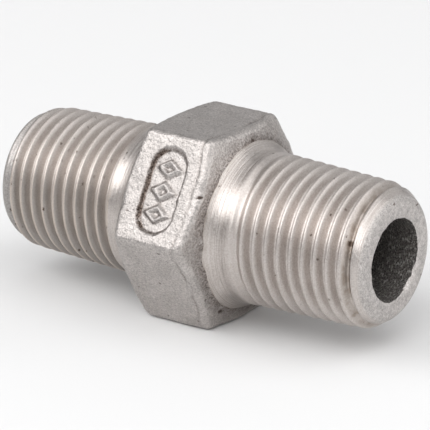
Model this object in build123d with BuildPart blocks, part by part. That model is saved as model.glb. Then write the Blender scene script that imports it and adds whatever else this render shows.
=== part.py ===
"""Hex nipple, R 1/8: one cast and machined body with a hexagon between two taper-threaded ends.

Frame, in millimetres: the origin is at the middle of the fitting, +X runs along the bore towards
the right-hand end and +Z is up. The fitting lies on the hexagon's lower flat.
"""

from build123d import *
from math import atan, cos, degrees, floor, hypot, radians, sin, tan
import os

# ---------------------------------------------------------------- driving dimensions, mm
LENGTH = 28.5                # overall, end face to end face
BORE_DIAMETER = 5.4

PITCH = 25.4 / 28            # 28 threads per inch
TAPER = 1 / 16               # on diameter
GAUGE_DIAMETER = 9.728       # major diameter at the gauge plane
GAUGE_LENGTH = 3.97          # gauge plane, from the small end
FLANK_ANGLE = 27.5           # half of the 55 degree thread form
THREAD_INNER_END = 4.75      # where the grooves stop, from the middle of the fitting
FRONT_CREST = 9.32           # a crest crosses the front line (-Y) here, at both ends

END_CHAMFER = 1.12           # along the axis
END_FACE_DIAMETER = 8.0      # outside of the flat end face

HEX_FLATS = 13.0             # across flats
HEX_EDGE_RADIUS = 0.5        # cast rounding of the six long edges
CAST_END_X = 3.2             # where the cast shoulder meets the turned one
CAST_END_DIAMETER = 11.2
CAST_END_LEAN = 20.5         # lean of the cast shoulder from a plane across the axis
CAST_END_RADIUS = 0.3        # rounding between the flats and the cast shoulders
NECK_X = 4.3                 # the turned shoulder's hollow meets the plain neck here

CARTOUCHE_LENGTH = 6.0       # recessed stadium on the upper front flat, across the fitting
CARTOUCHE_WIDTH = 2.85       # along the fitting
CARTOUCHE_DEPTH = 0.25
MARK_LENGTH = 1.9            # three raised open lozenges stand in the recess
MARK_WIDTH = 1.25
MARK_STROKE = 0.3
MARK_SPACING = 1.58
MARK_HEIGHT = 0.2

# ---------------------------------------------------------------- worked out
HALF = LENGTH / 2
GAUGE_X = HALF - GAUGE_LENGTH
THREAD_DEPTH = 0.640327 * PITCH
ROOT_ARC = PITCH / 12        # half of the flat that the round root replaces
MARK_INRADIUS = MARK_LENGTH * MARK_WIDTH / 2 / hypot(MARK_LENGTH, MARK_WIDTH)
CUTTER_SHOULDER = 0.04       # the cutter's flanks go this far past the crests
CUTTER_TOP = 0.25            # the cutter's height above the crests


def crest_radius(x):
    """Radius over the crests at the distance x from the middle."""
    return GAUGE_DIAMETER / 2 - (x - GAUGE_X) * TAPER / 2


# ---------------------------------------------------------------- threads
def thread_groove(side):
    """The right-hand groove of one end (side is +1 or -1), from outside the end face inward."""
    # The helix starts a quarter turn from the front line, in the groove beside the front crest.
    quarter_turn_groove = FRONT_CREST + PITCH / 2 + PITCH / 4
    turns_out = floor((HALF + 2 * PITCH - quarter_turn_groove) / PITCH)
    start = quarter_turn_groove + turns_out * PITCH
    with BuildPart() as cutter:
        with BuildLine():
            helix = Helix(
                PITCH,
                start - THREAD_INNER_END,
                crest_radius(start) - THREAD_DEPTH,
                center=(side * start, 0, 0),
                direction=(-side, 0, 0),
                cone_angle=degrees(atan(TAPER / 2)),
            )
        # One piece of the path to each turn keeps the swept faces short.
        turns = round((start - THREAD_INNER_END) / PITCH)
        path = Wire([helix.edge().trim(i / turns, (i + 1) / turns) for i in range(turns)])
        with BuildSketch(Plane(origin=path @ 0, x_dir=(-side, 0, 0), z_dir=path % 0)):
            with BuildLine():
                foot_x = ROOT_ARC * (1 + sin(radians(FLANK_ANGLE)))
                foot_y = ROOT_ARC * cos(radians(FLANK_ANGLE))
                mouth_y = THREAD_DEPTH + CUTTER_SHOULDER
                mouth_x = ROOT_ARC + mouth_y * tan(radians(FLANK_ANGLE))
                top_y = THREAD_DEPTH + CUTTER_TOP
                ThreePointArc((-foot_x, foot_y), (0, 0), (foot_x, foot_y))
                Polyline(
                    (foot_x, foot_y),
                    (mouth_x, mouth_y),
                    (mouth_x, top_y),
                    (-mouth_x, top_y),
                    (-mouth_x, mouth_y),
                    (-foot_x, foot_y),
                )
            make_face()
        sweep(path=path, is_frenet=True)
    return cutter.part


# ---------------------------------------------------------------- marks
def lozenge(scale, mode=Mode.ADD):
    """One lozenge, its long diagonal along the fitting."""
    half_length = scale * MARK_LENGTH / 2
    half_width = scale * MARK_WIDTH / 2
    Polygon((half_length, 0), (0, half_width), (-half_length, 0), (0, -half_width), mode=mode)


# ---------------------------------------------------------------- body
with BuildPart() as hex_nipple:
    # Hexagon, lying on a flat, with its six long edges rounded.
    with BuildSketch(Plane.YZ):
        RegularPolygon(HEX_FLATS / 2, 6, major_radius=False)
    extrude(amount=CAST_END_X, both=True)
    fillet(hex_nipple.edges().filter_by(Axis.X), HEX_EDGE_RADIUS)

    # Cast shoulders: a wide cone trims each end of the hexagon.
    with BuildSketch(Plane.XZ):
        with BuildLine():
            beyond = HEX_FLATS
            beyond_x = CAST_END_X - (beyond - CAST_END_DIAMETER / 2) * tan(radians(CAST_END_LEAN))
            Polyline(
                (-CAST_END_X, 0),
                (-CAST_END_X, CAST_END_DIAMETER / 2),
                (-beyond_x, beyond),
                (beyond_x, beyond),
                (CAST_END_X, CAST_END_DIAMETER / 2),
                (CAST_END_X, 0),
                close=True,
            )
        make_face()
    revolve(axis=Axis.X, mode=Mode.INTERSECT)
    cast_edges = hex_nipple.faces().filter_by(GeomType.CONE).edges()
    straight_or_round = (GeomType.LINE, GeomType.CIRCLE)
    fillet([edge for edge in cast_edges if edge.geom_type not in straight_or_round], CAST_END_RADIUS)

    # Recessed stadium on the upper front flat, with three raised open lozenges in it.
    flat_normal = Vector(0, -cos(radians(30)), sin(radians(30)))
    flat = Plane(origin=flat_normal * (HEX_FLATS / 2), x_dir=(1, 0, 0), z_dir=flat_normal)
    with BuildSketch(flat):
        SlotOverall(CARTOUCHE_LENGTH, CARTOUCHE_WIDTH, rotation=90)
    extrude(amount=-CARTOUCHE_DEPTH, mode=Mode.SUBTRACT)
    with BuildSketch(flat.offset(-CARTOUCHE_DEPTH)):
        with GridLocations(0, MARK_SPACING, 1, 3):
            lozenge(1)
            lozenge(1 - MARK_STROKE / MARK_INRADIUS, mode=Mode.SUBTRACT)
    extrude(amount=MARK_HEIGHT)

    # Turned shoulders, necks and blank taper ends.
    for side in (-1, 1):
        with BuildSketch(Plane.XZ):
            with BuildLine():
                neck_radius = crest_radius(NECK_X)
                chamfer_x = HALF - END_CHAMFER
                TangentArc(
                    (side * NECK_X, neck_radius),
                    (side * CAST_END_X, CAST_END_DIAMETER / 2),
                    tangent=(-side, 0),
                )
                Polyline(
                    (side * NECK_X, neck_radius),
                    (side * chamfer_x, crest_radius(chamfer_x)),
                    (side * HALF, END_FACE_DIAMETER / 2),
                    (side * HALF, 0),
                    (side * (CAST_END_X - 1), 0),
                    (side * (CAST_END_X - 1), CAST_END_DIAMETER / 2),
                    (side * CAST_END_X, CAST_END_DIAMETER / 2),
                )
            make_face()
        revolve(axis=Axis.X)
        add(thread_groove(side), mode=Mode.SUBTRACT)

    # Through bore.
    with BuildSketch(Plane.YZ.offset(-HALF)):
        Circle(BORE_DIAMETER / 2)
    extrude(amount=LENGTH, mode=Mode.SUBTRACT)

hex_nipple.part.label = "hex_nipple"
os.makedirs("parts", exist_ok=True)
export_step(hex_nipple.part, "parts/hex_nipple.step")
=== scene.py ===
"""Looks of the hex nipple, R 1/8: one cast and machined stainless steel body, as one closed mesh.

The mesh is worked out in millimetres in the CAD frame and turned to metres at the end. An angle
round the bore is measured from the front line (-Y) towards the top (+Z). A side is 1 for the right
end (+X) and -1 for the left end.
"""

import math

import bpy
import numpy as np
from mathutils import Matrix, Vector, noise


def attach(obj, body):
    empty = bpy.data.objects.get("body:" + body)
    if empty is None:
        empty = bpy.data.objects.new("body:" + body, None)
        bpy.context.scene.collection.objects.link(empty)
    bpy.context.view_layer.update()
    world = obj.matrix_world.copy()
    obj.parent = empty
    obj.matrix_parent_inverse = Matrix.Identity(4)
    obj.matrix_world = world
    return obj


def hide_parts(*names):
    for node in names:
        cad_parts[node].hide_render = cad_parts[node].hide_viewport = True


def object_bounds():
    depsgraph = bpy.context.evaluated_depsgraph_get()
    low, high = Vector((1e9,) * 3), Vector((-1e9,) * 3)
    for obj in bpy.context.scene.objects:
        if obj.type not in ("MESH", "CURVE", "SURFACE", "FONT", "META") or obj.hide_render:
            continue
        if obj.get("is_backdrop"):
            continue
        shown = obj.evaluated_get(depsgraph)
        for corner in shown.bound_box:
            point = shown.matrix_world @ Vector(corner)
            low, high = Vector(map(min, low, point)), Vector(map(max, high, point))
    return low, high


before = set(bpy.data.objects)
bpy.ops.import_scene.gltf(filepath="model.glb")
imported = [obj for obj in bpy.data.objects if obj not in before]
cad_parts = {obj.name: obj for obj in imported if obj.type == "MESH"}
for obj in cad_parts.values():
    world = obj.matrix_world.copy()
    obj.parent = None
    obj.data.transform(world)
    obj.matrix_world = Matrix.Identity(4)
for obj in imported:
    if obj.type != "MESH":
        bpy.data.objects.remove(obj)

CAD_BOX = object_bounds()
MM = 0.001

# ---------------------------------------------------------------- sizes in mm, shared with the CAD
PITCH = 25.4 / 28
THREAD_DEPTH = 0.640327 * PITCH  # Whitworth form
THREAD_ARC = 0.137329 * PITCH    # radius of its round crests and roots
FLANK = math.radians(27.5)
HALF = (CAD_BOX[1].x - CAD_BOX[0].x) / MM / 2
GAUGE_RADIUS = 9.728 / 2
GAUGE_X = HALF - 3.97
TAPER = 1 / 32                   # on radius
FRONT_CREST = 9.32               # a crest crosses the front line here, at each end
RUN_OUT = {1: (4.6, 5.95), -1: (4.72, 5.15)}   # per side: the groove is gone, and is full depth
CHAMFER = 1.12
END_RADIUS = 4.0
BORE_RADIUS = 2.7
FLAT = 6.5                       # flats from the axis
HEX_EDGE_RADIUS = 0.5
CAST_END_X = 3.2                 # the cast shoulder meets the turned hollow
CAST_END_RADIUS = 5.6
LEAN = math.tan(math.radians(20.5))
NECK_X = 4.3
CARTOUCHE_FLAT = math.radians(30)
CARTOUCHE = {"x": -0.02, "across": -0.04, "half_width": 1.425, "half_length": 3.0, "depth": 0.25}
MARK = {"half_length": 0.95, "half_width": 0.63, "stroke": 0.3, "spacing": 1.58, "height": 0.2}

# ---------------------------------------------------------------- sizes in mm, of the looks only
END_EDGE = 0.7                   # rounding between the chamfer and the end face
LAST_GROOVE = (0.1, 0.6)         # from the end: the groove is gone, and is full depth
END_BLEND = {1: 0.14, -1: 0.5}   # per side: how softly the thread runs out into the chamfer
BLASTED = (0.31, 0.08)           # from the end: the end face's matte finish begins, and is full
LAST_TURN = (1.6, 1.0)           # from the end: the right end's dirt and painted shade, or the left end's matteness, begins, and is full
LEFT_CHAMFER = (1.0, 0.75)       # from the end: the left end's chamfer begins to take the flanks' painted grey shade
DULL_AND_SHADE_TOP = {"from": 0.8, "to": 3.0, "less": 0.7}   # the left end is less dull, with less painted shade and highlight, up here
ROUNDING = 0.58                  # between the flats and the cast shoulders
ROUNDING_WANDER = 0.16
# Beside the bead on the flats' right edges. Its place and width are shares of half the flat's length.
VALLEY = {"depth": 0.08, "middle": 0.925, "width": 0.04}
CAST_WAVES = ((0.035, 1.7), (0.017, 0.42))     # the cast skin's unevenness: heights and sizes
SETTLE = 0.05                    # that unevenness lies this far inside the nominal size
EDGE_WANDER = 0.09               # how unevenly the casting meets the turned hollow, as arc angle
DIRT_REACH = 0.55                # dirt on the cast shoulder beside the turned hollow
HOLLOW_DIRT_AND_SHADE = {"most": 0.7, "reach": 0.09}     # brown dirt and painted shade along the hollow's crease with the casting, its reach a share of the arc
RECESS_WALL = (-0.2, 0.03)       # across the edge of the cartouche: its floor, and the flat
RECESS_WAVER = 0.05              # how unevenly the cartouche is cast
MARK_WALL = (-0.13, 0.09)        # across the edge of a lozenge's stroke: its top, and its foot
BORE_WAVES = ((0.035, 1.3), (0.02, 0.35))      # unevenness of the bore's wall: heights and sizes
BORE_OFFSET = (-0.09, -0.05)     # the cast bore's axis, off the turned axis along Y and Z
RIM = {"over": 0.04, "wander": 0.05}           # the bore's mouth, wider than the bore and uneven
BROKEN_RIM = {"angle": 225, "spread": 42, "width": 0.15}    # rough bevel at part of the mouth

# Single marks: axial place, radius, angle in degrees, and how far they reach along X, Y and Z.
CAST_MARKS = (
    (3.15, 5.68, 91, (0.16, 0.22, 0.2)),       # black pit beside the turned hollow
    (3.0, 6.05, -59, (0.22, 0.3, 0.26)),       # notch low on the right shoulder
    (2.95, 6.3, 31, (0.48, 0.3, 0.14)),        # dent in the edge of the cartouche's flat
)
TURNED_MARKS = (
    (13.3, 4.34, 27, (0.26, 0.34, 0.3)),       # brown stain in the last groove
    (14.2, 3.85, 130, (0.12, 0.35, 0.08)),     # scratch near the edge of the end face
    (9.05, 4.87, 0, (0.3, 0.2, 0.09)),         # brown scratch on the right thread
    (-9.15, 4.87, 91, (0.4, 0.3, 0.2)),        # dark chips on top of the left thread
)
MARK_RAGGED = 0.2                # how far the edges of those marks wander
MARK_GRAIN = 0.15                # size of what they wander by

# ---------------------------------------------------------------- how finely the mesh is divided
HEX_COLUMNS = (80, 46, 48, 44, 44, 46)     # to each flat, starting with the one with the cartouche
HEX_CROWDING = (0.2, 0.5, 0.5, 0.5, 0.5, 0.5)      # how much closer they are at a flat's edges
SEAM = math.radians(240)                   # columns start here, low at the back
FLAT_ROWS = np.concatenate([np.linspace(0, 0.7, 23), np.linspace(0.7, 1, 9)[1:]])
ROUNDING_ROWS = 6
SHOULDER_ROWS = (0.12, 0.24, 0.36, 0.48, 0.6, 0.7, 0.79, 0.87, 0.93, 0.97, 1.0)
HOLLOW_ROWS = (0.02, 0.07, 0.14, 0.24, 0.36, 0.5, 0.64, 0.78, 0.9)
# Rows of one pitch, as shares of it from a crest: close together on the round crest and root.
SHARES = (0.0, 0.04, 0.08, 0.1218, 0.25, 0.3782, 0.44, 0.5, 0.56, 0.6218, 0.75, 0.8782, 0.92, 0.96)
TURNS = 11
LOWEST_ROW = {1: 4.18, -1: -14.18}         # the thread's grid starts on the crest or root nearest
EDGE_ROWS = 6
FACE_ROWS = (0.25, 0.5, 0.75)              # on the way from the face's edge in to the next radius
FACE_ROWS_END = 3.0
BORE_ROWS = (0.32, 0.45, 0.65, 0.9, 1.2, 1.6, 2.1, 3.0)    # from the end, inside the mouth
BORE_MIDDLE = 3.6                          # from the end: the evenly divided wall starts
BORE_MIDDLE_ROWS = 25


# ---------------------------------------------------------------- helpers
def fbm(points, size, seed, octaves=2):
    """Smooth noise at points (mm), about -1 to 1, with features about size mm across."""
    shift = Vector((seed * 17.3, seed * 5.1, seed * 9.7))
    total = np.zeros(len(points))
    for octave in range(octaves):
        scale = 2**octave / size
        total += np.array([noise.noise(Vector(p) * scale + shift) for p in points]) / 2**octave
    return total


def unevenness(points, waves, seed):
    """Noise of several heights and sizes (mm), added up."""
    return sum(height * fbm(points, size, seed + i) for i, (height, size) in enumerate(waves))


def smoothstep(low, high, value):
    """0 at low, 1 at high, with a smooth start and end."""
    s = np.clip((value - low) / (high - low), 0, 1)
    return s * s * (3 - 2 * s)


def near_end(x, none, full):
    """0 at the first distance from the fitting's nearer end, and 1 at the second."""
    return smoothstep(HALF - none, HALF - full, np.abs(x))


def bell(value, middle, width):
    """1 in the middle, and 0.37 a width away from it."""
    return np.exp(-(((value - middle) / width) ** 2))


def soft_min(a, b, k):
    """The smaller of two values, rounded off where they differ by less than k."""
    h = np.clip(0.5 + 0.5 * (b - a) / k, 0, 1)
    return b + (a - b) * h - k * h * (1 - h)


def place(x, radius, angle):
    """Points from axial position, radius and angle."""
    x, radius, angle = np.broadcast_arrays(x, radius, angle)
    return np.stack([x, -radius * np.cos(angle), radius * np.sin(angle)], -1)


class Builder:
    """Collects the vertices, faces, materials and surface masks of the one mesh.

    The masks are, in order: brown dirt along with painted shade in creases and recesses; flank, the
    thread below its crests; matte for the end faces;
    lathe where tool lines show; and the left end's dullness, mostly below and in front, which also
    carries a painted highlight on its crests and painted shade on its flanks.
    """

    def __init__(self):
        self.points, self.faces, self.slots = [], [], []
        self.masks = {name: [] for name in ("grime", "flank", "matte", "lathe", "dull_and_shade")}

    def add(self, points, **masks):
        """New vertices, with the masks that aren't 0 there. Returns their numbers."""
        first = len(self.points)
        self.points.extend(map(tuple, points))
        x, _, z = np.array(points).T
        # The left end's dullness, which also carries its painted highlight and shade, is weaker up
        # top.
        top = smoothstep(DULL_AND_SHADE_TOP["from"], DULL_AND_SHADE_TOP["to"], z)
        masks["dull_and_shade"] = (x < 0) * (1 - DULL_AND_SHADE_TOP["less"] * top)
        for name, mask in self.masks.items():
            mask.extend(np.broadcast_to(masks.get(name, 0.0), (len(points),)))
        return list(range(first, len(self.points)))

    def face(self, corners, slot):
        """A face, without the corners that fall together. With fewer than three left, none."""
        kept = [c for i, c in enumerate(corners) if c != corners[i - 1]]
        if len(kept) > 2:
            self.faces.append(kept)
            self.slots.append(slot)

    def stitch(self, ring, following, slot):
        """Quads between two closed rings, the second one towards +X or the outside."""
        count = len(ring)
        for j in range(count):
            k = (j + 1) % count
            self.face((ring[j], following[j], following[k], ring[k]), slot)

    def grow(self, ring, side, slot, points, **masks):
        """A new ring joined to a ring, further along the surface on its way out on one side."""
        following = self.add(points, **masks)
        if side > 0:
            self.stitch(ring, following, slot)
        else:
            self.stitch(following, ring, slot)
        return following

    def stitch_double(self, coarse, fine, slot, flip):
        """Triangles between a ring and one with twice as many points."""
        count = len(coarse)
        for j in range(count):
            k = (j + 1) % count
            a, b, c = fine[2 * j], fine[2 * j + 1], fine[(2 * j + 2) % len(fine)]
            for corners in ((coarse[j], a, b), (coarse[j], b, coarse[k]), (coarse[k], b, c)):
                self.face(corners[::-1] if flip else corners, slot)


# ---------------------------------------------------------------- columns round the axis
def column_turns():
    """The hexagon's columns as angles past the seam, closer together at its edges."""
    reach = FLAT * math.tan(math.radians(30))
    angles = []
    for flat, (count, crowding) in enumerate(zip(HEX_COLUMNS, HEX_CROWDING)):
        for i in range(count):
            s = 2 * i / count - 1
            t = reach * (s + crowding * math.sin(math.pi * s) / math.pi)
            angles.append(CARTOUCHE_FLAT + math.radians(60 * flat) + math.atan2(t, FLAT))
    return np.sort(np.mod(np.array(angles) - SEAM, 2 * math.pi))


HEX_TURN = column_turns()
TURN = HEX_TURN[::2]             # the threads and end faces have half as many columns
CAST, TURNED, BORE = 0, 1, 2     # material slots


# ---------------------------------------------------------------- outer shape
def crest_radius(x):
    return GAUGE_RADIUS - (np.abs(x) - GAUGE_X) * TAPER


NECK_RADIUS = float(crest_radius(NECK_X))
CHAMFER_LEAN = math.atan2(crest_radius(HALF - CHAMFER) - END_RADIUS, CHAMFER)
FACE_RADIUS = END_RADIUS - END_EDGE * math.tan((math.pi / 2 - CHAMFER_LEAN) / 2)
END_EDGE_X = HALF - END_EDGE * (1 - math.sin(CHAMFER_LEAN))
HOLLOW = ((NECK_X - CAST_END_X) ** 2 + (CAST_END_RADIUS - NECK_RADIUS) ** 2) / (
    2 * (CAST_END_RADIUS - NECK_RADIUS)
)                                # radius of the turned shoulder's hollow


def groove_depth(across):
    """Depth below the crest at a distance across the groove from its middle, round root and crest."""
    tangent = THREAD_ARC * math.cos(FLANK)
    away = np.abs(across)
    to_crest = PITCH / 2 - away
    root = THREAD_ARC - np.sqrt(np.maximum(THREAD_ARC**2 - away**2, 0))
    crest = THREAD_DEPTH - THREAD_ARC + np.sqrt(np.maximum(THREAD_ARC**2 - to_crest**2, 0))
    flank = THREAD_ARC * (1 - math.sin(FLANK)) + (away - tangent) / math.tan(FLANK)
    height = np.where(away < tangent, root, np.where(away > PITCH / 2 - tangent, crest, flank))
    return THREAD_DEPTH - height


def thread_depth(x, angle):
    """Depth of the thread below its crests, with its run-outs at the neck and at the end."""
    side = 1 if np.max(x) > 0 else -1
    middle = side * (FRONT_CREST + PITCH / 2) - PITCH * angle / (2 * math.pi)
    across = np.mod(x - middle + PITCH / 2, PITCH) - PITCH / 2
    inner = smoothstep(*RUN_OUT[side], np.abs(x - across))
    return groove_depth(across) * inner * near_end(x, *LAST_GROOVE)


def turned_radius(x, depth):
    """Radius of the machined ends at a depth of thread: hollow, neck, thread and chamfer."""
    side = 1 if np.max(x) > 0 else -1
    distance = np.abs(x)
    inside = np.clip(NECK_X - distance, 0, HOLLOW)
    blank = np.where(
        distance < NECK_X,
        NECK_RADIUS + HOLLOW - np.sqrt(np.maximum(HOLLOW**2 - inside**2, 0)),
        crest_radius(x),
    )
    chamfer = END_RADIUS + (HALF - distance) * math.tan(CHAMFER_LEAN)
    past = np.clip(distance - (HALF - END_EDGE), 0, END_EDGE)
    edge = FACE_RADIUS + np.sqrt(END_EDGE**2 - past**2)
    return soft_min(blank - depth, np.where(distance > END_EDGE_X, edge, chamfer), END_BLEND[side])


def hex_radius(angle):
    """Radius of the hexagon with rounded edges, and the angle from the middle of its flat."""
    off = np.mod(angle - CARTOUCHE_FLAT + math.radians(30), math.radians(60)) - math.radians(30)
    centre = (FLAT - HEX_EDGE_RADIUS) / math.cos(math.radians(30))
    from_edge = math.radians(30) - np.abs(off)
    rounded = centre * np.cos(from_edge) + np.sqrt(
        np.maximum(HEX_EDGE_RADIUS**2 - (centre * np.sin(from_edge)) ** 2, 0)
    )
    on_flat = np.abs(off) < math.atan2((FLAT - HEX_EDGE_RADIUS) * math.tan(math.radians(30)), FLAT)
    return np.where(on_flat, FLAT / np.cos(off), rounded), off


def recess(x, across):
    """Depth of the cartouche with its three raised open lozenges, and its brown dirt and painted shade
    there.
    """
    c, m = CARTOUCHE, MARK
    spot = np.stack(np.broadcast_arrays(x, across, 0.0), -1)
    waver = RECESS_WAVER * fbm(spot, size=0.5, seed=21, octaves=3)
    straight = c["half_length"] - c["half_width"]
    beyond = np.maximum(np.abs(across - c["across"]) - straight, 0)
    edge = np.hypot(x - c["x"], beyond) - c["half_width"] + waver
    depth = c["depth"] * (1 - smoothstep(*RECESS_WALL, edge))
    a, b = m["half_length"], m["half_width"]
    raised = np.zeros_like(depth)
    foot = np.zeros_like(depth)
    for i in (-1, 0, 1):
        along, up = np.abs(x - c["x"]), np.abs(across - c["across"] - i * m["spacing"])
        off = (along * b + up * a - a * b) / math.hypot(a, b) + 0.6 * waver
        ridge = np.abs(off + m["stroke"] / 2) - m["stroke"] / 2
        raised = np.maximum(raised, 1 - smoothstep(*MARK_WALL, ridge))
        foot = np.maximum(foot, bell(ridge, 0.09, 0.07))
    # Most of the dirt and painted shade lies along the cartouche's left wall, and a little at the
    # lozenges' feet.
    left = smoothstep(-0.1, -0.8, (x - c["x"]) / c["half_width"])
    wall = bell(edge, -0.12 - 0.03 * left, 0.06 + 0.06 * left)
    dirt_and_shade = np.maximum(wall * (0.75 + 1.1 * left), 0.45 * foot * (edge < -0.1))
    return depth - m["height"] * raised, dirt_and_shade


# ---------------------------------------------------------------- mesh, section by section
def hex_rows(angle, side):
    """Rows of one half of the hexagon and its cast shoulder, out to the turned hollow.

    Each row is x, radius, lean of the surface, share of the cast unevenness, dirt, and share of the
    valley beside the edge's bead. Returned with them is where the hollow starts, as its arc's angle:
    the casting meets it unevenly.
    """
    radius, _ = hex_radius(angle)
    wander = fbm(place(0.0, CAST_END_RADIUS, angle), size=1.6, seed=3 + side, octaves=4)
    edge_angle = math.asin((NECK_X - CAST_END_X) / HOLLOW) + EDGE_WANDER * wander
    edge_x = NECK_X - HOLLOW * np.sin(edge_angle)
    edge_radius = NECK_RADIUS + HOLLOW * (1 - np.cos(edge_angle))
    corner_x = edge_x - (radius - edge_radius) * LEAN
    turning = math.atan2(1, LEAN)                      # from the flat down to the cast shoulder
    wander = fbm(place(9.0 * side, CAST_END_RADIUS, angle), size=0.8, seed=5)
    rounding = ROUNDING + ROUNDING_WANDER * wander
    flat_end = corner_x - rounding * math.tan(turning / 2)
    rows = []
    for u in FLAT_ROWS:
        rows.append((u * flat_end, radius, 0.0, 1.0, 0.0, bell(u, VALLEY["middle"], VALLEY["width"])))
    for i in range(1, ROUNDING_ROWS + 1):
        a = turning * i / ROUNDING_ROWS
        turned_in = rounding * (1 - math.cos(a))
        rows.append((flat_end + rounding * math.sin(a), radius - turned_in, a, 1.0, 0.0, 0.0))
    start_x, start_radius = rows[-1][:2]
    for u in SHOULDER_ROWS:
        x = start_x + u * (edge_x - start_x)
        rows.append((
            x,
            start_radius + u * (edge_radius - start_radius),
            turning,
            1 - smoothstep(0.8, 1.0, u),
            0.8 * np.exp(-np.abs(edge_x - x) / math.cos(turning) / DIRT_REACH),
            0.0,
        ))
    return rows, edge_angle


def cast_points(side, row, angle):
    """Points of a cast row, with the recess and the casting's unevenness, and the dirt on them, with
    painted shade in the cartouche's recess.
    """
    x, radius, lean, freedom, dirt_and_shade, valley = row
    _, off = hex_radius(angle)
    flat_number = np.round((angle - CARTOUCHE_FLAT) / math.radians(60)) % 6
    x = side * x
    depth, wall = recess(x, radius * np.sin(off))
    with_recess = (flat_number == 0) & (lean == 0)
    radius = radius - np.where(with_recess, depth, 0) / np.cos(off)
    base = place(x, radius, angle)
    uneven = unevenness(base, CAST_WAVES, seed=1)
    if side > 0:
        patchy = valley * smoothstep(-0.7, 0.3, fbm(base, size=1.1, seed=9))
        uneven = uneven - VALLEY["depth"] * patchy
        dirt_and_shade = np.maximum(dirt_and_shade, 0.35 * patchy)
    swell = np.minimum(uneven - SETTLE, 0) * freedom
    points = place(x + side * math.sin(lean) * swell, radius + math.cos(lean) * swell, angle)
    return points, np.maximum(np.where(with_recess, wall, 0), dirt_and_shade)


def hex_half(mesh, side, ring):
    """One half of the hexagon, from its middle ring out to the start of the thread's grid."""
    angle = HEX_TURN + SEAM
    rows, edge_angle = hex_rows(angle, side)
    for row in rows[1:]:
        points, dirt_and_shade = cast_points(side, row, angle)
        ring = mesh.grow(ring, side, CAST, points, grime=dirt_and_shade)
    last_x = THREAD_START[side]
    end_angle = math.asin((NECK_X - last_x) / HOLLOW) if last_x < NECK_X else 0.0
    for u in HOLLOW_ROWS:
        a = edge_angle + u * (end_angle - edge_angle)
        x = side * (NECK_X - HOLLOW * np.sin(a))
        points = place(x, NECK_RADIUS + HOLLOW * (1 - np.cos(a)), angle)
        # Brown dirt and painted shade, darkest at the crease with the casting.
        dirt_and_shade = HOLLOW_DIRT_AND_SHADE["most"] * math.exp(-u / HOLLOW_DIRT_AND_SHADE["reach"])
        ring = mesh.grow(ring, side, TURNED, points, grime=dirt_and_shade, lathe=1.0)
    return ring


def first_row(side):
    """Lowest x of the thread's grid, on a crest or root where the seam crosses it."""
    crest = side * FRONT_CREST - PITCH * SEAM / (2 * math.pi)
    half_turns = round((LOWEST_ROW[side] - crest) / (PITCH / 2))
    return crest + half_turns * PITCH / 2


# Distance of the end of the grid that is nearer the hexagon, per side.
THREAD_START = {1: first_row(1), -1: -(first_row(-1) + TURNS * PITCH)}


def grid_rows(turn):
    """Rows of one column of the thread's grid, as distances from its lowest x.

    They follow the helix. Over the first and the last turn they fan out from plain rings.
    """
    count = len(SHARES)
    index = np.arange((TURNS + 1) * count + 1)
    along = index // count * PITCH + (np.array(SHARES) * PITCH)[index % count]
    past = turn / (2 * math.pi)
    helix = along - PITCH * past
    last = (TURNS - past) * PITCH + (along - TURNS * PITCH) * past
    return np.where(index <= count, along * (1 - past), np.where(index <= TURNS * count, helix, last))


def thread_masks(side, x, depth):
    """Masks on the thread at axial places and at shares of its full depth."""
    last_turn = near_end(x, *LAST_TURN)
    masks = {
        # On the right end's last turn: brown dirt and painted shade, darker deeper in the groove.
        "grime": last_turn * smoothstep(0.0, 0.35, depth),
        "flank": smoothstep(0.03, 0.14, depth) * (1 - 0.6 * smoothstep(0.3, 1.0, depth)),
        "matte": near_end(x, *BLASTED),
        "lathe": (np.abs(x) > HALF - 0.75 * CHAMFER) | (np.abs(x) < RUN_OUT[side][0]),
    }
    if side < 0:
        masks["grime"] = np.zeros_like(depth)
        # The left chamfer takes the flanks' painted grey shade.
        masks["flank"] = np.maximum(masks["flank"], near_end(x, *LEFT_CHAMFER))
        masks["matte"] = np.maximum(masks["matte"], 0.8 * last_turn)
    return masks


def thread_grid(mesh, side):
    """The threaded length, its rows along the helix. Returns its rings at the low and high x."""
    count = len(SHARES)
    rows = (TURNS + 1) * count + 1
    ids = np.zeros((len(TURN), rows), int)
    for j, turn in enumerate(TURN):
        x = first_row(side) + grid_rows(turn)
        radius = turned_radius(x, thread_depth(x, turn + SEAM))
        masks = thread_masks(side, x, (turned_radius(x, 0) - radius) / THREAD_DEPTH)
        kept = rows - count if j == 0 else rows        # on the seam, the last turn has no height
        masks = {name: values[:kept] for name, values in masks.items()}
        new = mesh.add(place(x, radius, turn + SEAM)[:kept], **masks)
        ids[j] = new + new[-1:] * (rows - kept)
    seam = np.concatenate([np.full(count, ids[0, 0]), ids[0, : rows - count]])     # a pitch further on
    for j in range(len(TURN)):
        right = seam if j == len(TURN) - 1 else ids[j + 1]
        for i in range(rows - 1):
            mesh.face((ids[j, i], ids[j, i + 1], right[i + 1], right[i]), TURNED)
    return list(ids[:, 0]), list(ids[:, -1])


def bore_points(x, radius, angle):
    """Points of the bore's wall: rough as cast, and a little off the turned axis."""
    rough = unevenness(place(x, radius, angle), BORE_WAVES, seed=7)
    points = place(x, radius + rough, angle)
    points[:, 1] += BORE_OFFSET[0]
    points[:, 2] += BORE_OFFSET[1]
    return points


def broken_rim(side, angle):
    """Width of the rough bevel on part of the bore's mouth."""
    away = np.abs(np.mod(angle - math.radians(BROKEN_RIM["angle"]) + math.pi, 2 * math.pi) - math.pi)
    ragged = 1 + 1.2 * fbm(place(side * HALF, BORE_RADIUS, angle), size=0.3, seed=15 + side)
    reached = 1 - smoothstep(0, math.radians(BROKEN_RIM["spread"]), away)
    return np.clip(BROKEN_RIM["width"] * ragged * reached, 0, BROKEN_RIM["width"] * 1.7)


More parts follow.
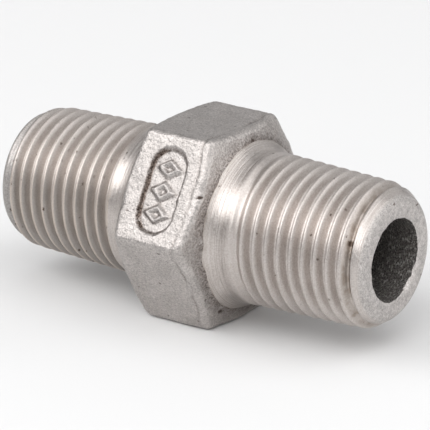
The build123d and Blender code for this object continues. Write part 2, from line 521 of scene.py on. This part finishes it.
def end_face(mesh, side, ring):
    """From the thread's last ring over the rounded edge and the flat end face, and into the bore."""
    angle = TURN + SEAM
    start = math.asin((abs(mesh.points[ring[0]][0]) - (HALF - END_EDGE)) / END_EDGE)
    for i in range(1, EDGE_ROWS + 1):
        a = start + (math.pi / 2 - start) * i / EDGE_ROWS
        x = HALF - END_EDGE * (1 - math.sin(a))
        points = place(side * x, FACE_RADIUS + END_EDGE * math.cos(a), angle)
        ring = mesh.grow(ring, side, TURNED, points, matte=near_end(x, *BLASTED), lathe=1.0)
    for share in FACE_ROWS:
        radius = FACE_RADIUS + share * (FACE_ROWS_END - FACE_RADIUS)
        ring = mesh.grow(ring, side, TURNED, place(side * HALF, radius, angle), matte=1.0)
    wander = fbm(place(side * HALF, BORE_RADIUS, angle), size=0.6, seed=11 + side, octaves=3)
    rim = BORE_RADIUS + RIM["over"] + RIM["wander"] * wander
    broken = broken_rim(side, angle)
    mouth = (                    # how far in from the end face, how far outside the rim, material
        (0.0, 0.05 + broken, TURNED),
        (0.012 + 0.35 * broken, 0.012 + 0.55 * broken, TURNED),
        (0.02 + 0.9 * broken, 0.006, TURNED),
        (0.05 + 1.1 * broken, 0.0, BORE),
    )
    for inset, extra, slot in mouth:
        points = bore_points(side * (HALF - inset), rim + extra, angle)
        ring = mesh.grow(ring, side, slot, points, matte=1.0)
    for inset in BORE_ROWS:
        radius = rim + (BORE_RADIUS - rim) * smoothstep(0.05, 0.6, inset)
        ring = mesh.grow(ring, side, BORE, bore_points(side * (HALF - inset), radius, angle))
    return ring


def bore_wall(mesh, left, right):
    """The bore between the two mouths, with half as many columns."""
    angle = TURN[::2] + SEAM
    reach = HALF - BORE_MIDDLE
    ring = None
    for x in np.linspace(-reach, reach, BORE_MIDDLE_ROWS):
        following = mesh.add(bore_points(x, np.full_like(angle, BORE_RADIUS), angle))
        if ring is None:
            mesh.stitch_double(following, left, BORE, flip=False)
        else:
            mesh.stitch(following, ring, BORE)
        ring = following
    mesh.stitch_double(ring, right, BORE, flip=True)


def build_nipple():
    mesh = Builder()
    angle = HEX_TURN + SEAM
    rows, _ = hex_rows(angle, 1)
    points, dirt_and_shade = cast_points(1, rows[0], angle)
    middle = mesh.add(points, grime=dirt_and_shade)
    mouths = {}
    for side in (1, -1):
        inner = hex_half(mesh, side, middle)
        low, high = thread_grid(mesh, side)
        near, far = (low, high) if side > 0 else (high, low)
        mesh.stitch_double(near, inner, TURNED, flip=side > 0)
        mouths[side] = end_face(mesh, side, far)
    bore_wall(mesh, mouths[-1], mouths[1])
    data = bpy.data.meshes.new("hex_nipple_body")
    data.from_pydata([Vector(p) * MM for p in mesh.points], [], mesh.faces)
    data.polygons.foreach_set("material_index", mesh.slots)
    data.polygons.foreach_set("use_smooth", [True] * len(mesh.faces))
    for name, values in mesh.masks.items():
        data.attributes.new(name, "FLOAT", "POINT").data.foreach_set("value", values)
    data.update()
    body = bpy.data.objects.new("hex_nipple_body", data)
    bpy.context.scene.collection.objects.link(body)
    return body


# ---------------------------------------------------------------- materials
CAST_STEEL = (0.435, 0.405, 0.387), (0.515, 0.482, 0.463)
# Brown stains and black pits; in the cartouche's recess they are also painted shade.
CAST_STAIN_AND_SHADE = (0.17, 0.133, 0.113)
CAST_PIT_AND_SHADE = (0.055, 0.042, 0.036)
CAST_SPECK = (0.08, 0.06, 0.052)
TURNED_STEEL = (0.52, 0.478, 0.45), (0.59, 0.545, 0.517)
BLASTED_STEEL = (0.4, 0.376, 0.362), (0.56, 0.53, 0.512)
# Brown dirt in the turned steel; in the hollow's crease and in the last groove it is also painted
# shade.
GROOVE_DIRT_AND_SHADE = (0.3, 0.25, 0.21)
# Painted light on the left end's thread: a cream highlight on the crests and grey shade on the flanks.
PAINTED_CREST_HIGHLIGHT = (0.58, 0.49, 0.415)
PAINTED_FLANK_SHADE = (0.24, 0.234, 0.224)
TURNED_CHIP = (0.11, 0.08, 0.062)
BORE_STEEL = (0.045, 0.04, 0.037), (0.19, 0.176, 0.163)
BORE_STROKE = (0.42, 0.4, 0.38)
STROKE = {"long": 0.24, "wide": 0.09}      # mm, the bore's pale strokes


class Nodes:
    """A short way to build a material's node tree."""

    def __init__(self, name):
        self.material = bpy.data.materials.new(name)
        self.material.use_nodes = True
        self.tree = self.material.node_tree
        self.shader = self.tree.nodes["Principled BSDF"]
        self.place = self.make("ShaderNodeTexCoord").outputs["Object"]

    def make(self, kind, **settings):
        node = self.tree.nodes.new(kind)
        for key, value in settings.items():
            setattr(node, key, value)
        return node

    def give(self, value, socket):
        """A number, a colour or another node's output, given to a socket."""
        if isinstance(value, bpy.types.NodeSocket):
            self.tree.links.new(value, socket)
        elif isinstance(value, tuple):
            socket.default_value = (*value, 1)
        else:
            socket.default_value = value

    def vector_math(self, operation, *vectors, scale=None):
        """What an operation makes of some vectors, and for SCALE of a number."""
        node = self.make("ShaderNodeVectorMath", operation=operation)
        for value, socket in zip(vectors, node.inputs):
            self.give(value, socket)
        if scale is not None:
            self.give(scale, node.inputs["Scale"])
        return node.outputs["Value" if operation == "LENGTH" else "Vector"]

    def stretched(self, scale):
        mapping = self.make("ShaderNodeMapping")
        mapping.inputs["Scale"].default_value = scale
        self.give(self.place, mapping.inputs["Vector"])
        return mapping.outputs["Vector"]

    def noise(self, size_mm=None, detail=2.0, roughness=0.5, vector=None, output="Fac"):
        """Noise with features about size_mm across, or about 1 across in a given vector's units."""
        node = self.make("ShaderNodeTexNoise")
        node.inputs["Scale"].default_value = 1 / (size_mm * MM) if vector is None else 1.0
        node.inputs["Detail"].default_value = detail
        node.inputs["Roughness"].default_value = roughness
        self.give(vector or self.place, node.inputs["Vector"])
        return node.outputs[output]

    def tool_lines(self, pitch_mm, length_mm):
        """Noise in rings round the axis, on cylinders, cones and end faces alike."""
        across, around = 1 / (pitch_mm * MM), 1 / (length_mm * MM)
        radius = self.vector_math("LENGTH", self.stretched((0, 1, 1)))
        inwards = self.vector_math("SCALE", Vector((-across, 0, 0)), scale=radius)
        outwards = self.vector_math("ABSOLUTE", self.stretched((across, around, around)))
        both = self.vector_math("ADD", inwards, outwards)
        return self.noise(roughness=0.6, vector=both)

    def ramp(self, source, low, high, at=(0.3, 0.7)):
        """A grey or a colour that goes from low to high as the source goes over the two places."""
        node = self.make("ShaderNodeValToRGB")
        for element, position, value in zip(node.color_ramp.elements, at, (low, high)):
            element.position = position
            element.color = (*value, 1) if isinstance(value, tuple) else (value, value, value, 1)
        self.give(source, node.inputs["Fac"])
        return node.outputs["Color"]

    def mix(self, factor, a, b, mode="MIX"):
        node = self.make("ShaderNodeMix", data_type="RGBA", blend_type=mode)
        for value, socket in ((factor, node.inputs[0]), (a, node.inputs[6]), (b, node.inputs[7])):
            self.give(value, socket)
        return node.outputs[2]

    def math(self, operation, *values):
        node = self.make("ShaderNodeMath", operation=operation)
        for value, socket in zip(values, node.inputs):
            self.give(value, socket)
        return node.outputs[0]

    def bump(self, height, depth_mm, strength=1.0, before=None):
        node = self.make("ShaderNodeBump")
        node.inputs["Distance"].default_value = depth_mm * MM
        self.give(strength, node.inputs["Strength"])
        self.give(height, node.inputs["Height"])
        if before is not None:
            self.give(before, node.inputs["Normal"])
        return node.outputs["Normal"]

    def attribute(self, name):
        return self.make("ShaderNodeAttribute", attribute_name=name).outputs["Fac"]

    def specks(self, size_mm, share, radius=(0.1, 0.26), stretch=1.0):
        """1 inside scattered small specks: about share of the cells of this size hold one."""
        k = 1 / (size_mm * MM)
        wobble = self.vector_math("SCALE", self.noise(size_mm / 3, output="Color"), scale=0.35)
        warped = self.vector_math("ADD", self.stretched((k, k / stretch, k / stretch)), wobble)
        cells = self.make("ShaderNodeTexVoronoi")
        cells.inputs["Scale"].default_value = 1.0
        self.give(warped, cells.inputs["Vector"])
        chance = self.make("ShaderNodeSeparateColor")
        self.give(cells.outputs["Color"], chance.inputs[0])
        lucky = self.ramp(chance.outputs[0], 1, 0, at=(share, share + 0.001))
        near = self.ramp(cells.outputs["Distance"], 1, 0, at=radius)
        return self.mix(1.0, lucky, near, "MULTIPLY")

    def spot(self, centre, size):
        """1 in the middle of a single mark at centre (mm), its edge ragged, gone at size (mm) away."""
        ragged = Vector((MARK_RAGGED, MARK_RAGGED, MARK_RAGGED)) * MM
        grain = self.noise(MARK_GRAIN, output="Color")
        shifted = self.vector_math("MULTIPLY_ADD", grain, ragged, self.place)
        mapping = self.make("ShaderNodeMapping", vector_type="TEXTURE")
        mapping.inputs["Location"].default_value = Vector(centre) * MM + ragged / 2
        mapping.inputs["Scale"].default_value = Vector(size) * MM
        self.give(shifted, mapping.inputs["Vector"])
        gradient = self.make("ShaderNodeTexGradient", gradient_type="SPHERICAL")
        self.give(mapping.outputs["Vector"], gradient.inputs["Vector"])
        return self.ramp(gradient.outputs["Fac"], 0, 1, at=(0.05, 0.5))

    def spots(self, marks):
        """All of a list of marks, each an axial place, a radius, an angle in degrees and a size."""
        total = None
        for x, radius, angle, size in marks:
            one = self.spot(place(x, radius, math.radians(angle)), size)
            total = one if total is None else self.math("MAXIMUM", total, one)
        return total

    def finish(self, colour, roughness, normal, metallic=1.0):
        self.give(colour, self.shader.inputs["Base Color"])
        self.give(roughness, self.shader.inputs["Roughness"])
        self.give(normal, self.shader.inputs["Normal"])
        self.shader.inputs["Metallic"].default_value = metallic
        return self.material


def cast_skin():
    """Grainy, pebbled steel with brown stains and black pits where there is dirt, also as painted
    shade in the cartouche's recess, and specks.
    """
    n = Nodes("cast_steel_skin")
    pebbles = n.noise(0.25, roughness=0.55)
    grain = n.noise(0.12, detail=3, roughness=0.65)
    colour = n.ramp(n.noise(1.6, detail=3), *CAST_STEEL)
    colour = n.mix(0.65, colour, n.ramp(grain, 0.22, 0.74), "OVERLAY")
    dirt_and_shade = n.attribute("grime")
    blotches = n.ramp(n.noise(0.5, detail=3, roughness=0.65), 0.25, 1.0, at=(0.3, 0.6))
    # Brown stains and black pits: dirt, and painted shade in the cartouche's recess.
    colour = n.mix(n.math("MULTIPLY", dirt_and_shade, blotches), colour, CAST_STAIN_AND_SHADE)
    holes = n.ramp(n.noise(0.13, detail=3, roughness=0.65), 0.0, 1.0, at=(0.46, 0.62))
    colour = n.mix(n.math("MULTIPLY", dirt_and_shade, holes), colour, CAST_PIT_AND_SHADE)
    specks = n.math("MULTIPLY", n.specks(0.5, share=0.07), 0.7)
    colour = n.mix(n.math("MAXIMUM", specks, n.spots(CAST_MARKS)), colour, CAST_SPECK)
    normal = n.bump(pebbles, 0.05)
    normal = n.bump(grain, 0.03, before=normal)
    return n.finish(colour, n.ramp(grain, 0.32, 0.48), normal)


def turned_skin():
    """Satin threads, brighter with tool lines where lathe is set, and blasted where matte is."""
    n = Nodes("turned_steel")
    grime, flank, matte, lathe, dull_and_shade = map(n.attribute, ("grime", "flank", "matte", "lathe", "dull_and_shade"))
    lines = n.tool_lines(0.1, 5)
    grain = n.noise(0.1, roughness=0.6)
    colour = n.ramp(n.noise(2.2, detail=3), *TURNED_STEEL)
    scored = n.math("MULTIPLY_ADD", lathe, 0.28, 0.1)
    colour = n.mix(scored, colour, n.ramp(lines, 0.34, 0.64), "OVERLAY")
    colour = n.mix(0.45, colour, n.ramp(grain, 0.32, 0.66), "OVERLAY")
    face = n.ramp(n.noise(0.35, detail=3, roughness=0.7), *BLASTED_STEEL, at=(0.3, 0.65))
    face = n.mix(0.7, face, n.ramp(grain, 0.26, 0.72), "OVERLAY")
    colour = n.mix(matte, colour, face)
    # Brown dirt, with painted shade in the hollow's crease and in the last groove.
    blotches = n.ramp(n.noise(0.6, detail=3), 0.3, 0.9, at=(0.35, 0.65))
    colour = n.mix(n.math("MULTIPLY", grime, blotches), colour, GROOVE_DIRT_AND_SHADE)
    # The left end, mostly below and in front: a painted cream highlight on the crests and painted grey
    # shade on the flanks.
    on_crest = n.math("MULTIPLY_ADD", n.math("MAXIMUM", flank, lathe), -0.5, 0.5)
    colour = n.mix(n.math("MULTIPLY", dull_and_shade, on_crest), colour, PAINTED_CREST_HIGHLIGHT)
    on_flank = n.math("MULTIPLY", flank, 0.4)
    colour = n.mix(n.math("MULTIPLY", dull_and_shade, on_flank), colour, PAINTED_FLANK_SHADE)
    marks = n.math("MULTIPLY", n.specks(0.42, share=0.13, radius=(0.08, 0.2), stretch=1.6), 0.8)
    chips = n.math("MULTIPLY", dull_and_shade, n.specks(0.28, share=0.14, radius=(0.1, 0.24), stretch=2.6))
    marks = n.math("MAXIMUM", n.math("MAXIMUM", marks, chips), n.spots(TURNED_MARKS))
    colour = n.mix(marks, colour, TURNED_CHIP)
    left_end = n.ramp(dull_and_shade, 0, 1, at=(0.0, 0.25))
    roughness = n.mix(left_end, n.ramp(grain, 0.37, 0.47), n.ramp(grain, 0.38, 0.52))
    roughness = n.mix(lathe, roughness, n.ramp(grain, 0.28, 0.37))
    roughness = n.mix(matte, roughness, n.ramp(grain, 0.42, 0.56))
    normal = n.bump(lines, 0.055, n.ramp(lathe, 0.05, 1.0, at=(0.0, 1.0)))
    normal = n.bump(grain, 0.012, before=normal)
    return n.finish(colour, roughness, normal)


def bore_skin():
    """Dark, rough and grainy, with short pale strokes."""
    n = Nodes("as_cast_bore")
    grain = n.noise(0.1, detail=3, roughness=0.6)
    colour = n.ramp(grain, *BORE_STEEL, at=(0.4, 0.62))
    scale = (1 / (STROKE["wide"] * MM), 1 / (STROKE["long"] * MM), 1 / (STROKE["long"] * MM))
    strokes = n.noise(roughness=0.6, vector=n.stretched(scale))
    colour = n.mix(n.ramp(strokes, 0, 1, at=(0.53, 0.7)), colour, BORE_STROKE)
    return n.finish(colour, n.ramp(grain, 0.45, 0.7), n.bump(grain, 0.11), metallic=0.7)


# ---------------------------------------------------------------- stage
FLOOR = {"reach": 3.0, "colour": (0.75, 0.75, 0.75), "roughness": 0.9, "specular": 0.1}
WORLD_COLOUR = (0.28, 0.28, 0.285)
LAMPS = (        # azimuth and elevation in degrees, distance and size in metres, and brightness
    ("overhead", 0, 90, 0.9, (1.0, 1.0), 0.65),
    ("key", -20, 42.5, 0.6, (1.2, 0.4), 2.7),
    ("fill", 80, 50, 0.7, (1.45, 0.48), 1.4),
    ("back", 180, 28, 0.8, (1.4, 0.5), 0.45),
    ("side", 104, 9, 0.7, (0.7, 0.34), 1.9),
)


def direction(azimuth, elevation):
    """Unit vector from the object: azimuth 0 is in front (-Y), 90 is to the right (+X)."""
    a, e = math.radians(azimuth), math.radians(elevation)
    return Vector((math.sin(a) * math.cos(e), -math.cos(a) * math.cos(e), math.sin(e)))


def soft_box(name, azimuth, elevation, distance, size, radiance):
    """A rectangular lamp that faces the object; radiance is its brightness as seen."""
    lamp = bpy.data.lights.new(name, "AREA")
    lamp.shape = "RECTANGLE"
    lamp.size, lamp.size_y = size
    lamp.energy = radiance * math.pi * size[0] * size[1]
    holder = bpy.data.objects.new(name, lamp)
    holder.location = direction(azimuth, elevation) * distance
    holder.rotation_mode = "QUATERNION"
    holder.rotation_quaternion = (-holder.location).to_track_quat("-Z", "Y")
    bpy.context.scene.collection.objects.link(holder)


def build_floor():
    reach = FLOOR["reach"]
    corners = [(-reach, -reach), (reach, -reach), (reach, reach), (-reach, reach)]
    data = bpy.data.meshes.new("floor")
    data.from_pydata([(x, y, CAD_BOX[0].z) for x, y in corners], [], [(0, 1, 2, 3)])
    material = bpy.data.materials.new("pale_floor")
    material.use_nodes = True
    shader = material.node_tree.nodes["Principled BSDF"]
    shader.inputs["Base Color"].default_value = (*FLOOR["colour"], 1)
    shader.inputs["Roughness"].default_value = FLOOR["roughness"]
    shader.inputs["Specular IOR Level"].default_value = FLOOR["specular"]
    data.materials.append(material)
    floor = bpy.data.objects.new("floor", data)
    bpy.context.scene.collection.objects.link(floor)
    floor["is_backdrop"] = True


def build_lights():
    world = bpy.data.worlds.new("studio")
    bpy.context.scene.world = world
    world.use_nodes = True
    world.node_tree.nodes["Background"].inputs["Color"].default_value = (*WORLD_COLOUR, 1)
    for lamp in LAMPS:
        soft_box(*lamp)


def build_camera():
    """Looks down along the fitting from the right of its front, through a long lens."""
    azimuth, elevation, roll = 34.569, 19.551, math.radians(0.64)
    distance, to_the_right, upwards = 0.2394, 0.0002545, -0.0000425
    back = direction(azimuth, elevation)
    level = Vector((math.cos(math.radians(azimuth)), math.sin(math.radians(azimuth)), 0))
    steep = back.cross(level)
    right = level * math.cos(roll) + steep * math.sin(roll)
    up = steep * math.cos(roll) - level * math.sin(roll)
    data = bpy.data.cameras.new("camera")
    data.sensor_width = 36.0
    data.lens = 306.335
    data.clip_start, data.clip_end = 0.01, 10.0
    camera = bpy.data.objects.new("camera", data)
    camera.location = back * distance + right * to_the_right + up * upwards
    camera.rotation_mode = "QUATERNION"
    camera.rotation_quaternion = Matrix((right, up, back)).transposed().to_quaternion()
    bpy.context.scene.collection.objects.link(camera)
    bpy.context.scene.camera = camera


# ---------------------------------------------------------------- the piece
body = build_nipple()
for make in (cast_skin, turned_skin, bore_skin):       # in the order of the material slots
    body.data.materials.append(make())
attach(body, "root")
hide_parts("hex_nipple")
build_floor()
build_lights()
build_camera()
bpy.context.scene.view_settings.view_transform = "Standard"

boxes = {"cad": CAD_BOX, "visual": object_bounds()}
{name: [list(corner) for corner in box] for name, box in boxes.items()}
